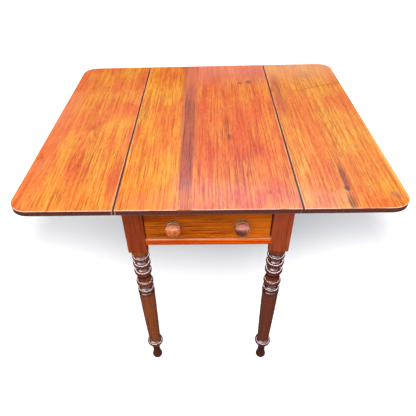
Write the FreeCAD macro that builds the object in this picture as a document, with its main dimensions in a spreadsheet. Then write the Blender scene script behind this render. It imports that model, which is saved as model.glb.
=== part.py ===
import FreeCAD, Part
import math
import operator
import os

import Sketcher

# A pembroke table: a fixed top with a drop leaf on each long side, four turned legs, one drawer in
# the end, and a swinging bracket under each leaf. Millimetres. The origin is on the floor under the
# middle of the top, +Z is up and the drawer faces -Y.

DRIVING_SIZES = {
    # Top and leaves.
    "table_height": 730,
    "top_thickness": 15,
    "centre_width": 462,
    "leaf_width": 267,
    "top_length": 958,
    "leaf_corner": 52,
    "top_arris": 1.6,
    "strip_left": -74,
    "strip_width": 34,
    # Rule joint between the top and a leaf.
    "rule_step": 3,
    "rule_radius": 9,
    "rule_clearance": 0.4,
    "joint_gap": 2.2,
    # Legs and frame.
    "frame_inset": 11.5,
    "leg_setback": 25,
    "leg_block": 52,
    "block_length": 152.5,
    "block_arris": 1.4,
    "rail_height": 124.5,
    "tenon_shoulder": 10,
    "tenon_length": 15,
    "side_tenon_length": 18,
    "tenon_thickness": 10,
    "drawer_rail_thickness": 20,
    "drawer_rail_setback": 0.5,
    "drawer_rail_arris": 1.2,
    "rail_tenon_thickness": 12,
    "rail_tenon_depth": 25,
    "bead_line_height": 6,
    "bead_line_width": 1.2,
    "bead_line_depth": 1,
    "back_rail_thickness": 20,
    "back_rail_setback": 2,
    "side_rail_thickness": 18,
    # Fly rails and brackets.
    "fly_rail_thickness": 20,
    "fly_rail_setback": 2,
    "bracket_length": 215,
    "bracket_slant": 30,
    "bracket_end_gap": 1,
    "bracket_top_gap": 0.3,
    "knuckle_play": 0.3,
    "knuckle_hollow": 0.8,
    "knuckle_end_play": 0.4,
    "bracket_pin_radius": 3,
    "bracket_pin_inset": 1.5,
    "pin_seat_clearance": 0.02,
    "pin_running_clearance": 0.08,
    # Drawer and what carries it.
    "drawer_setback": 5,
    "drawer_gap_left": 1.8,
    "drawer_gap_right": 3.2,
    "drawer_gap_below": 1,
    "drawer_gap_above": 1.5,
    "drawer_length": 560,
    "drawer_front_thickness": 22,
    "drawer_lap": 8,
    "drawer_side_thickness": 10,
    "drawer_side_drop": 2.5,
    "drawer_running_gap": 0.3,
    "drawer_bottom_thickness": 6,
    "drawer_bottom_height": 8,
    "drawer_groove": 5,
    "drawer_back_drop": 6,
    "runner_width": 24,
    "guide_height": 15,
    "kicker_thickness": 20,
    "stop_width": 24,
    "stop_depth": 16,
    "stop_height": 6,
    "stop_gap": 0.2,
    "stop_inset": 55.5,
    "glue_block": 20,
    "glue_block_length": 40,
    "glue_block_inset": 27.5,
    # Knobs.
    "knob_inset": 75,
    "knob_radius": 20.6,
    "knob_rim": 5.2,
    "knob_dome": 11.6,
    "knob_neck_radius": 10.5,
    "knob_neck_length": 4.5,
    "knob_collar_radius": 16.2,
    "knob_collar_length": 4,
    "knob_flange_radius": 19.4,
    "knob_flange_length": 3.2,
    "knob_tenon_radius": 6,
    "knob_tenon_length": 14,
    # Table hinges.
    "hinge_length": 64,
    "hinge_inset": 129,
    "hinge_middle_knuckle": 22,
    "hinge_knuckle_gap": 0.3,
    "hinge_plate": 1.8,
    "hinge_top_width": 36,
    "hinge_leaf_width": 58,
    "hinge_cutback": 3.6,
    "hinge_pin_radius": 1.25,
    "hinge_running_clearance": 0.05,
    "hinge_pocket_clearance": 0.3,
    # Screws.
    "hinge_screw_radius": 1.7,
    "hinge_screw_head": 3.4,
    "hinge_screw_length": 9.5,
    "hinge_screw_spread": 18,
    "hinge_screw_from_pin": 24,
    "hinge_screw_second": 46,
    "top_screw_radius": 2.4,
    "top_screw_head": 4.8,
    "top_screw_sink": 2.4,
    "top_screw_length": 29,
    "top_screw_inset": 102,
    "fly_screw_radius": 2.2,
    "fly_screw_head": 4.4,
    "fly_screw_sink": 2.2,
    "fly_screw_length": 32,
    "fly_screw_inset": 45,
    "foot_radius": 10.5,
    "neck_radius": 25.2,
    "shaft_swell": 0.6,
}

# Turned members of a leg below its square block, from the top down: the radius where the member ends,
# its height, and how far its side swells out (hollows in, if negative).
UPPER_TURNING = (
    ("cup", 24.4, 20, 0.8),
    ("cup_under", 20.5, 4.5, 0.6),
    ("collar", 17.8, 20, 6.2),
    ("collar_groove", 17.6, 4, 0),
    ("first_ring", 17.6, 27.5, 8.2),
    ("first_groove", 17.6, 3.5, 0),
    ("second_ring", 20.6, 27, 6.6),
    ("vase", 20.4, 9, -0.4),
    ("waist_flare", 21.4, 14, -0.8),
    ("third_slope", 24.6, 5.5, 0.6),
    ("third_ring", 21.5, 16.5, 2.8),
    ("third_under", 17.8, 6, -0.4),
    ("third_groove", 17.6, 3.5, 0),
    ("fourth_slope", 25.4, 13, 3),
    ("fourth_rim", 23, 7, 0.6),
    ("band_slope", 25.6, 1.5, 0.2),
    ("band", 25.6, 5, 0.2),
    ("shaft_shoulder", 25, 0, 0),
)

# Turned members of the foot, from the floor up.
LOWER_TURNING = (
    ("foot_pad", 17.4, 10, 1.6),
    ("foot_shoulder", 14.8, 13, 0.9),
    ("foot_stem", 11.8, 24, -0.4),
    ("ankle_neck", 12.6, 8, -0.4),
    ("knop_under", 17, 31, -1.2),
    ("knop", 27.6, 13.5, 2.8),
    ("knop_shoulder", 18.4, 13, 2.6),
    ("knop_groove", 18, 2.5, 0),
    ("fillet_ring", 19.8, 3, 0.4),
)

for member, end_radius, height, swell in UPPER_TURNING + LOWER_TURNING:
    DRIVING_SIZES[member + "_radius"] = end_radius
    DRIVING_SIZES[member + "_height"] = height
    DRIVING_SIZES[member + "_swell"] = swell

doc = FreeCAD.newDocument("pembroke_table")
sheet = doc.addObject("Spreadsheet::Sheet", "sizes")
for row, (alias, number) in enumerate(DRIVING_SIZES.items(), start=1):
    sheet.set(f"A{row}", alias)
    sheet.set(f"B{row}", str(number))
    sheet.setAlias(f"B{row}", alias)
doc.recompute()


class Size:
    """A length that knows its number and the spreadsheet expression it comes from."""

    def __init__(self, number, text):
        self.number = number
        self.text = text

    def combine(self, sign, work, other, swapped=False):
        if not isinstance(other, Size):
            other = Size(other, repr(other))
        first, second = (other, self) if swapped else (self, other)
        return Size(work(first.number, second.number), f"({first.text} {sign} {second.text})")

    def __add__(self, other):
        return self.combine("+", operator.add, other)

    def __radd__(self, other):
        return self.combine("+", operator.add, other, swapped=True)

    def __sub__(self, other):
        return self.combine("-", operator.sub, other)

    def __rsub__(self, other):
        return self.combine("-", operator.sub, other, swapped=True)

    def __mul__(self, other):
        return self.combine("*", operator.mul, other)

    def __rmul__(self, other):
        return self.combine("*", operator.mul, other, swapped=True)

    def __truediv__(self, other):
        return self.combine("/", operator.truediv, other)

    def __neg__(self):
        return self * -1


def size(alias):
    return Size(float(sheet.get(alias)), f"sizes.{alias}")


def root(length):
    return Size(math.sqrt(length.number), f"sqrt({length.text})")


ZERO = Size(0.0, "0")
pieces = {}


def bind(thing, **settings):
    """Ties a document object's properties to spreadsheet expressions."""
    for prop, length in settings.items():
        thing.setExpression(prop, length.text)


def place(thing, x, y, z):
    for axis, length in zip("xyz", (x, y, z)):
        if not isinstance(length, Size):
            length = Size(length, repr(length))
        thing.setExpression(f"Placement.Base.{axis}", length.text)


def keep(node, thing):
    """Names a finished sub-part."""
    thing.Label = node
    pieces[node] = thing
    return thing


def slab(name, x, y, z):
    """A squared piece of timber or plate between two limits on each axis."""
    made = doc.addObject("Part::Box", name)
    bind(made, Length=x[1] - x[0], Width=y[1] - y[0], Height=z[1] - z[0])
    place(made, x[0], y[0], z[0])
    return made


TURNED = {
    "x": FreeCAD.Rotation(FreeCAD.Vector(0, 1, 0), 90),
    "-x": FreeCAD.Rotation(FreeCAD.Vector(0, 1, 0), -90),
    "y": FreeCAD.Rotation(FreeCAD.Vector(1, 0, 0), -90),
    "z": FreeCAD.Rotation(),
}


def rod(name, radius, start, length, along="z"):
    made = doc.addObject("Part::Cylinder", name)
    made.Placement = FreeCAD.Placement(FreeCAD.Vector(), TURNED[along])
    bind(made, Radius=radius, Height=length)
    place(made, *start)
    return made


def taper(name, radius, end_radius, start, length, along="z"):
    made = doc.addObject("Part::Cone", name)
    made.Placement = FreeCAD.Placement(FreeCAD.Vector(), TURNED[along])
    bind(made, Radius1=radius, Radius2=end_radius, Height=length)
    place(made, *start)
    return made


def join(name, *parts):
    if len(parts) == 1:
        return parts[0]
    made = doc.addObject("Part::MultiFuse", name)
    made.Shapes = list(parts)
    return made


def cut(name, base, *tools):
    made = doc.addObject("Part::Cut", name)
    made.Base = base
    made.Tool = join(name + "_tools", *tools)
    return made


def group(name, *parts):
    made = doc.addObject("Part::Compound", name)
    made.Links = list(parts)
    return made


def eased(name, base, radius, wanted):
    """Rounds the edges of base that the test wanted(edge) picks."""
    doc.recompute()
    edges = [
        (number, radius.number, radius.number)
        for number, edge in enumerate(base.Shape.Edges, start=1)
        if wanted(edge)
    ]
    made = doc.addObject("Part::Fillet", name)
    made.Base = base
    made.Edges = edges
    return made


def near(first, second):
    return abs(first - second) < 1e-4


def mirrored(side, limits):
    """Limits across the table, given for the right side, on the side asked for."""
    return limits if side > 0 else (-limits[1], -limits[0])


def swell_radius(start, end, swell):
    """Radius of the arc from start to end whose middle stands off the chord by swell."""
    across = end[0] - start[0]
    along = end[1] - start[1]
    return ((across * across + along * along) / 4 + swell * swell) / (2 * swell)


def outlined(name, role, points, arcs):
    """A body with one sketch on an origin plane. arcs maps a segment's number to the radius of the
    arc that takes the straight line's place and the side, 1 or -1, that it bends to."""
    body = doc.addObject("PartDesign::Body", name)
    sketch = body.newObject("Sketcher::SketchObject", name + "_sketch")
    plane = next(f for f in body.Origin.OriginFeatures if f.Role == role)
    sketch.AttachmentSupport = [(plane, "")]
    sketch.MapMode = "FlatFace"
    corners = [FreeCAD.Vector(u.number, v.number, 0) for u, v in points]
    for number, start in enumerate(corners):
        end = corners[(number + 1) % len(corners)]
        if number in arcs:
            radius, bend = arcs[number]
            sketch.addGeometry(bent(start, end, radius.number, bend))
        else:
            sketch.addGeometry(Part.LineSegment(start, end))
    ends = [arc_ends(sketch, number, corners[number]) for number in range(len(corners))]
    for number in range(len(corners)):
        after = (number + 1) % len(corners)
        sketch.addConstraint(
            Sketcher.Constraint("Coincident", number, ends[number][1], after, ends[after][0])
        )
    for number, point in enumerate(points):
        for kind, length in zip(("DistanceX", "DistanceY"), point):
            pin_point(sketch, kind, number, ends[number][0], length)
    for number, (radius, bend) in arcs.items():
        index = sketch.addConstraint(Sketcher.Constraint("Radius", number, radius.number))
        sketch.setExpression(f"Constraints[{index}]", radius.text)
    return body, sketch


def bent(start, end, radius, bend):
    """The shorter arc from start to end that bends to the left (1) or the right (-1) of the chord."""
    chord = end - start
    left = FreeCAD.Vector(-chord.y, chord.x, 0).normalize()
    half = chord.Length / 2
    centre = (start + end) / 2 - left * bend * math.sqrt(radius * radius - half * half)
    first, last = (end, start) if bend > 0 else (start, end)
    first_angle = math.atan2(first.y - centre.y, first.x - centre.x)
    last_angle = math.atan2(last.y - centre.y, last.x - centre.x)
    if last_angle < first_angle:
        last_angle += 2 * math.pi
    circle = Part.Circle(centre, FreeCAD.Vector(0, 0, 1), radius)
    return Part.ArcOfCircle(circle, first_angle, last_angle)


def arc_ends(sketch, number, start):
    """Which end of a sketch line is its start in the outline, 1 or 2, and which is its end."""
    piece = sketch.Geometry[number]
    return (1, 2) if piece.StartPoint.isEqual(start, 1e-6) else (2, 1)


def pin_point(sketch, kind, number, end, length):
    """Holds one corner of an outline at its distance from the sketch's origin."""
    if abs(length.number) < 1e-9:
        axis = -2 if kind == "DistanceX" else -1
        sketch.addConstraint(Sketcher.Constraint("PointOnObject", number, end, axis))
        return
    if length.number > 0:
        rule = Sketcher.Constraint(kind, -1, 1, number, end, length.number)
    else:
        length = -length
        rule = Sketcher.Constraint(kind, number, end, -1, 1, length.number)
    index = sketch.addConstraint(rule)
    sketch.setExpression(f"Constraints[{index}]", length.text)


def padded(name, role, points, length, arcs=()):
    body, sketch = outlined(name, role, points, dict(arcs))
    pad = body.newObject("PartDesign::Pad", name + "_pad")
    pad.Profile = sketch
    bind(pad, Length=length)
    return body


def turned(name, points, arcs):
    """A body of revolution about the Z axis from points given as radius and height."""
    body, sketch = outlined(name, "XZ_Plane", points, arcs)
    spin = body.newObject("PartDesign::Revolution", name + "_turning")
    spin.Profile = sketch
    spin.ReferenceAxis = (sketch, ["V_Axis"])
    spin.Angle = 360
    return body


# Heights and lines that several pieces share.
under_top = size("table_height") - size("top_thickness")
rail_bottom = under_top - size("rail_height")
block_bottom = under_top - size("block_length")
half_length = size("top_length") / 2
joint_line = size("centre_width") / 2
pin_height = size("table_height") - size("rule_step") - size("rule_radius")
barrel_radius = pin_height - under_top
frame_side = joint_line - size("frame_inset")
leg_inside = frame_side - size("leg_block")
leg_front = half_length - size("leg_setback")
leg_back = leg_front - size("leg_block")
rail_top = rail_bottom + size("drawer_rail_thickness")
fly_outside = frame_side - size("fly_rail_setback")
fly_inside = fly_outside - size("fly_rail_thickness")
side_inside = fly_inside - size("side_rail_thickness")
fly_middle = fly_outside - size("fly_rail_thickness") / 2
back_rail_outside = leg_front - size("back_rail_setback")
back_rail_inside = back_rail_outside - size("back_rail_thickness")
rail_front = -leg_front + size("drawer_rail_setback")
rail_back = -leg_back
kicker_bottom = under_top - size("kicker_thickness")
SIDES = (("left", -1), ("right", 1))


def hinge_places():
    return [(half_length - size("hinge_inset")) * step for step in (-1, 0, 1)]


def across(side, distance):
    """A distance from the middle of the table, out to one side."""
    return distance * side


def hinge_limits(middle, extra):
    half = size("hinge_length") / 2 + extra
    return middle - half, middle + half


def middle_knuckle_limits(middle, extra):
    half = size("hinge_middle_knuckle") / 2 + extra
    return middle - half, middle + half


def hinge_screw_places(side, middle, on_leaf):
    """Where the screws of one hinge stand, across and along the table."""
    out = size("hinge_screw_from_pin") * (1 if on_leaf else -1)
    spots = [
        (across(side, joint_line + out), middle + size("hinge_screw_spread") * step) for step in (-1, 1)
    ]
    if on_leaf:
        spots.append((across(side, joint_line + size("hinge_screw_second")), middle))
    return spots


def hinge_screw(name, spot):
    head = taper(
        name + "_head",
        size("hinge_screw_head"),
        size("hinge_screw_radius"),
        (*spot, under_top),
        size("hinge_plate"),
    )
    shank = rod(
        name + "_shank", size("hinge_screw_radius"), (*spot, under_top), size("hinge_screw_length")
    )
    return join(name, head, shank)


def hinge_screws(name, side, on_leaf):
    spots = [
        spot for middle in hinge_places() for spot in hinge_screw_places(side, middle, on_leaf)
    ]
    return [hinge_screw(f"{name}_{number}", spot) for number, spot in enumerate(spots)]


def hinge_recesses(name, side, on_leaf):
    """What is cut from the underside of the top, or of a leaf, to let the hinges in."""
    pocket = size("hinge_pocket_clearance")
    depth = (under_top, under_top + size("hinge_plate"))
    cuts = []
    for number, middle in enumerate(hinge_places()):
        tag = f"{name}_{number}"
        along = hinge_limits(middle, pocket)
        if on_leaf:
            reach = mirrored(side, (joint_line, joint_line + size("hinge_leaf_width")))
            cuts.append(slab(tag + "_leaf_plate", reach, along, depth))
            continue
        reach = mirrored(side, (joint_line - size("hinge_top_width"), joint_line))
        cuts.append(slab(tag + "_top_plate", reach, along, depth))
        swing = mirrored(side, (joint_line, joint_line + size("rule_radius") + pocket))
        cuts.append(slab(tag + "_leaf_plate", swing, along, (under_top, depth[1] + pocket)))
        groove = barrel_radius + pocket
        start = (across(side, joint_line), along[0], pin_height)
        cuts.append(rod(tag + "_barrel", groove, start, along[1] - along[0], "y"))
        mouth = mirrored(side, (joint_line - groove, joint_line + groove))
        cuts.append(slab(tag + "_mouth", mouth, along, (under_top, pin_height)))
    return cuts


def top_screw_places():
    middle = side_inside - size("runner_width") / 2
    return [
        (across(side, middle), (leg_back - size("top_screw_inset")) * step)
        for _, side in SIDES
        for step in (-1, 0, 1)
    ]


def top_screw_shank(name, spot, start, length):
    return rod(name, size("top_screw_radius"), (*spot, start), length)


def long_edges_at_top(edge):
    """Edges in the upper face of the top that run across the table at its two ends."""
    box = edge.BoundBox
    at_top = near(box.ZMin, size("table_height").number) and near(box.ZMax, box.ZMin)
    return at_top and near(box.YMin, box.YMax) and near(abs(box.YMin), half_length.number)


def top_boards():
    strip_from = size("strip_left")
    strip_to = strip_from + size("strip_width")
    height = size("table_height")
    step_floor = height - size("rule_step")
    ovolo_foot = root(
        size("rule_radius") * size("rule_radius") - barrel_radius * barrel_radius
    )
    edge_gap = size("joint_gap") / 2
    inner_edges = {"left": strip_from, "right": strip_to}
    for name, side in SIDES:
        inner = inner_edges[name]
        points = [
            (inner, under_top),
            (inner, height),
            (across(side, joint_line - edge_gap), height),
            (across(side, joint_line - edge_gap), step_floor),
            (across(side, joint_line), step_floor),
            (across(side, joint_line + ovolo_foot), under_top),
        ]
        node = f"top_board_{name}"
        blank = padded(
            node + "_blank", "XZ_Plane", points, size("top_length"), {4: (size("rule_radius"), side)}
        )
        place(blank, 0.0, half_length, 0.0)
        board = eased(node + "_eased", blank, size("top_arris"), long_edges_at_top)
        holes = hinge_recesses(node + "_hinge", side, False)
        for number, spot in enumerate(
            spot for middle in hinge_places() for spot in hinge_screw_places(side, middle, False)
        ):
            start = (*spot, under_top)
            holes.append(
                rod(
                    f"{node}_pilot_{number}",
                    size("hinge_screw_radius"),
                    start,
                    size("hinge_screw_length"),
                )
            )
        for number, spot in enumerate(top_screw_places()):
            if spot[0].number * side > 0:
                depth = size("top_screw_length") - size("kicker_thickness")
                holes.append(top_screw_shank(f"{node}_screw_hole_{number}", spot, under_top, depth))
        keep(node, cut(node, board, *holes))
    strip = slab(
        "top_strip_blank",
        (strip_from, strip_to),
        (-half_length, half_length),
        (under_top, height),
    )
    keep("top_strip", eased("top_strip", strip, size("top_arris"), long_edges_at_top))


def leaf(name, side):
    """A drop leaf: its inner edge is hollowed to roll round the top's moulded edge."""
    height = size("table_height")
    hollow = size("rule_radius") + size("rule_clearance")
    edge_gap = size("joint_gap") / 2
    lip = root(hollow * hollow - edge_gap * edge_gap)
    hollow_foot = root(hollow * hollow - barrel_radius * barrel_radius)
    outer = joint_line + size("leaf_width")
    points = [
        (across(side, joint_line + edge_gap), height),
        (across(side, outer), height),
        (across(side, outer), under_top),
        (across(side, joint_line + hollow_foot), under_top),
        (across(side, joint_line + edge_gap), pin_height + lip),
    ]
    node = f"{name}_leaf"
    blank = padded(node + "_blank", "XZ_Plane", points, size("top_length"), {3: (hollow, -side)})
    place(blank, 0.0, half_length, 0.0)
    corners = []
    radius = size("leaf_corner")
    for end_name, end in (("front", -1), ("back", 1)):
        span = mirrored(side, (outer - radius, outer))
        run = mirrored(end, (half_length - radius, half_length))
        square = slab(f"{node}_{end_name}_square", span, run, (under_top, height))
        centre = (across(side, outer - radius), across(end, half_length - radius), under_top)
        round_post = rod(f"{node}_{end_name}_round", radius, centre, size("top_thickness"))
        corners.append(cut(f"{node}_{end_name}_corner", square, round_post))
    shaped = cut(node + "_shaped", blank, *corners)

    def outer_top_edge(edge):
        box = edge.BoundBox
        at_top = near(box.ZMin, height.number) and near(box.ZMax, height.number)
        inside = near(max(abs(box.XMin), abs(box.XMax)), (joint_line + edge_gap).number)
        return at_top and not inside

    board = eased(node + "_eased", shaped, size("top_arris"), outer_top_edge)
    holes = hinge_recesses(node + "_hinge", side, True)
    for number, spot in enumerate(
        spot for middle in hinge_places() for spot in hinge_screw_places(side, middle, True)
    ):
        start = (*spot, under_top)
        holes.append(
            rod(f"{node}_pilot_{number}", size("hinge_screw_radius"), start, size("hinge_screw_length"))
        )
    keep(node, cut(node, board, *holes))


def hinge_plate(name, side, middle, on_leaf):
    """One plate of a table hinge: the top's plate has the two outer knuckles, the leaf's the middle one."""
    out = 1 if on_leaf else -1
    width = size("hinge_leaf_width") if on_leaf else size("hinge_top_width")
    depth = (under_top, under_top + size("hinge_plate"))

    def reach(first, second):
        limits = (joint_line + first * out, joint_line + second * out)
        return mirrored(side, limits if on_leaf else (limits[1], limits[0]))

    flat = slab(name + "_flat", reach(size("hinge_cutback"), width), hinge_limits(middle, ZERO), depth)
    outer = hinge_limits(middle, ZERO)
    inner = middle_knuckle_limits(middle, -size("hinge_knuckle_gap") / 2)
    clear = middle_knuckle_limits(middle, size("hinge_knuckle_gap") / 2)
    stretches = [inner] if on_leaf else [(outer[0], clear[0]), (clear[1], outer[1])]
    solids = [flat]
    bores = []
    hole = size("hinge_pin_radius") + (
        size("hinge_running_clearance") if on_leaf else size("pin_seat_clearance")
    )
    for number, (start, end) in enumerate(stretches):
        solids.append(slab(f"{name}_web_{number}", reach(ZERO, size("hinge_cutback")), (start, end), depth))
        axis_start = (across(side, joint_line), start, pin_height)
        solids.append(rod(f"{name}_knuckle_{number}", barrel_radius, axis_start, end - start, "y"))
        bores.append(rod(f"{name}_bore_{number}", hole, axis_start, end - start, "y"))
    for number, spot in enumerate(hinge_screw_places(side, middle, on_leaf)):
        bores.append(
            taper(
                f"{name}_sink_{number}",
                size("hinge_screw_head"),
                size("hinge_screw_radius"),
                (*spot, under_top),
                size("hinge_plate"),
            )
        )
    return cut(name, join(name + "_solid", *solids), *bores)


def hinges(name, side):
    places = list(enumerate(hinge_places()))
    for label, on_leaf in (("top", False), ("leaf", True)):
        node = f"{name}_hinge_{label}_plates"
        plates = [hinge_plate(f"{node}_{n}", side, middle, on_leaf) for n, middle in places]
        keep(node, group(node, *plates))
        node = f"{name}_hinge_{label}_screws"
        keep(node, group(node, *hinge_screws(f"{node}_each", side, on_leaf)))
    node = f"{name}_hinge_pins"
    pins = []
    for number, middle in places:
        start, end = hinge_limits(middle, ZERO)
        axis_start = (across(side, joint_line), start, pin_height)
        pins.append(rod(f"{node}_{number}", size("hinge_pin_radius"), axis_start, end - start, "y"))
    keep(node, group(node, *pins))


def leg_turning(name):
    """The turned part of a leg, from the floor up to the square block."""
    upper = [(size("neck_radius"), block_bottom)]
    upper_swells = []
    for member, *_ in UPPER_TURNING:
        upper.append((size(member + "_radius"), upper[-1][1] - size(member + "_height")))
        upper_swells.append(size(member + "_swell"))
    lower = [(size("foot_radius"), ZERO)]
    lower_swells = []
    for member, *_ in LOWER_TURNING:
        lower.append((size(member + "_radius"), lower[-1][1] + size(member + "_height")))
        lower_swells.append(size(member + "_swell"))
    points = [(ZERO, block_bottom)] + upper + lower[::-1] + [(ZERO, ZERO)]
    swells = [None] + upper_swells + [size("shaft_swell")] + lower_swells[::-1]
    arcs = {}
    for number, swell in enumerate(swells):
        if swell is not None and swell.number:
            magnitude = swell if swell.number > 0 else -swell
            bend = 1 if swell.number > 0 else -1
            arcs[number] = (swell_radius(points[number], points[number + 1], magnitude), bend)
    return turned(name, points, arcs)


def legs():
    for end_name, end in (("front", -1), ("back", 1)):
        for side_name, side in SIDES:
            node = f"{end_name}_{side_name}_leg"
            turning = leg_turning(node + "_turned")
            centre_x = across(side, frame_side - size("leg_block") / 2)
            centre_y = across(end, leg_front - size("leg_block") / 2)
            place(turning, centre_x, centre_y, 0.0)
            square = slab(
                node + "_square",
                mirrored(side, (leg_inside, frame_side)),
                mirrored(end, (leg_back, leg_front)),
                (block_bottom, under_top),
            )

            def not_at_top(edge):
                return edge.BoundBox.ZMin < under_top.number - 1

            block = eased(node + "_block", square, size("block_arris"), not_at_top)
            mortises = [side_tenon(node + "_side_mortise", side, end)]
            if end < 0:
                mortises.append(rail_tenon(node + "_lower_mortise", side, rail_bottom, rail_top))
                mortises.append(rail_tenon(node + "_upper_mortise", side, kicker_bottom, under_top))
            else:
                mortises.append(back_tenon(node + "_back_mortise", side))
            blank = join(node + "_blank", block, turning)
            keep(node, cut(node, blank, *mortises))


def side_tenon(name, side, end):
    middle = side_inside + size("side_rail_thickness") / 2
    half = size("tenon_thickness") / 2
    shoulder = size("tenon_shoulder")
    return slab(
        name,
        mirrored(side, (middle - half, middle + half)),
        mirrored(end, (leg_back, leg_back + size("side_tenon_length"))),
        (rail_bottom + shoulder, under_top - shoulder),
    )


def rail_tenon(name, side, bottom, top):
    """The end tenon of the drawer rail or of the upper rail, which have one size."""
    middle_y = (rail_front + rail_back) / 2
    half_y = size("rail_tenon_depth") / 2
    middle_z = (bottom + top) / 2
    half_z = size("rail_tenon_thickness") / 2
    return slab(
        name,
        mirrored(side, (leg_inside, leg_inside + size("tenon_length"))),
        (middle_y - half_y, middle_y + half_y),
        (middle_z - half_z, middle_z + half_z),
    )


def back_tenon(name, side):
    middle = back_rail_outside - size("back_rail_thickness") / 2
    half = size("tenon_thickness") / 2
    shoulder = size("tenon_shoulder")
    return slab(
        name,
        mirrored(side, (leg_inside, leg_inside + size("tenon_length"))),
        (middle - half, middle + half),
        (rail_bottom + shoulder, under_top - shoulder),
    )


def end_rails():
    width = (-leg_inside, leg_inside)
    deep = (rail_front, rail_back)
    lower = slab("drawer_rail_blank", width, deep, (rail_bottom, rail_top))

    def front_edge(edge):
        box = edge.BoundBox
        return near(box.YMax, rail_front.number) and near(box.ZMin, box.ZMax)

    lower = eased("drawer_rail_eased", lower, size("drawer_rail_arris"), front_edge)
    line_foot = rail_bottom + size("bead_line_height")
    line = slab(
        "drawer_rail_bead_line",
        width,
        (rail_front, rail_front + size("bead_line_depth")),
        (line_foot, line_foot + size("bead_line_width")),
    )
    lower = cut("drawer_rail_lined", lower, line)
    upper = slab("upper_rail_blank", width, deep, (kicker_bottom, under_top))
    back = slab(
        "back_rail_blank", width, (back_rail_inside, back_rail_outside), (rail_bottom, under_top)
    )
    for node, blank, bottom, top in (
        ("drawer_rail", lower, rail_bottom, rail_top),
        ("upper_rail", upper, kicker_bottom, under_top),
    ):
        tenons = [rail_tenon(f"{node}_{name}_tenon", side, bottom, top) for name, side in SIDES]
        keep(node, join(node, blank, *tenons))
    tenons = [back_tenon(f"back_rail_{name}_tenon", side) for name, side in SIDES]
    keep("back_rail", join("back_rail", back, *tenons))


def fly_screw_places():
    """How far along the table the fly rail screws stand, for its front and its rear length."""
    inset = size("fly_screw_inset")
    front = [-leg_back + inset, -leg_back / 2, -inset]
    rear_start = size("bracket_length") + size("bracket_end_gap")
    rear = [rear_start + inset, leg_back - inset]
    middle = (rail_bottom + under_top) / 2
    return [(y, middle) for y in front + rear]


def fly_screw(name, side, spot):
    """A screw from the inner face of a side rail into the fly rail, with a countersunk head."""
    start = (across(side, side_inside), *spot)
    along = "x" if side > 0 else "-x"
    head = taper(
        name + "_head",
        size("fly_screw_head"),
        size("fly_screw_radius"),
        start,
        size("fly_screw_sink"),
        along,
    )
    shank = rod(name + "_shank", size("fly_screw_radius"), start, size("fly_screw_length"), along)
    return join(name, head, shank)


def fly_screw_set(name, side):
    return [fly_screw(f"{name}_{n}", side, spot) for n, spot in enumerate(fly_screw_places())]


def side_rails(name, side):
    node = f"{name}_side_rail"
    blank = slab(
        node + "_blank",
        mirrored(side, (side_inside, fly_inside)),
        (-leg_back, leg_back),
        (rail_bottom, under_top),
    )
    tenons = [side_tenon(f"{node}_{n}_tenon", side, end) for n, end in (("front", -1), ("back", 1))]
    whole = join(node + "_whole", blank, *tenons)
    keep(node, cut(node, whole, *fly_screw_set(node + "_hole", side)))


def knuckle_levels():
    """Heights of the five fingers of a bracket's knuckle; the rail has the first, third and fifth."""
    step = size("rail_height") / FINGER_COUNT
    return [(rail_bottom + step * n, rail_bottom + step * (n + 1)) for n in range(FINGER_COUNT)]


def knuckle(name, side, fingers, extra, radius):
    """Round stretches of a knuckle at the heights of the fingers asked for."""
    levels = knuckle_levels()
    made = []
    for finger in fingers:
        low, high = levels[finger]
        start = (across(side, fly_middle), ZERO, low - extra)
        made.append(rod(f"{name}_{finger}", radius, start, high - low + extra * 2))
    return made


FINGER_COUNT = 5
RAIL_FINGERS = range(0, FINGER_COUNT, 2)
BRACKET_FINGERS = range(1, FINGER_COUNT, 2)


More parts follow.
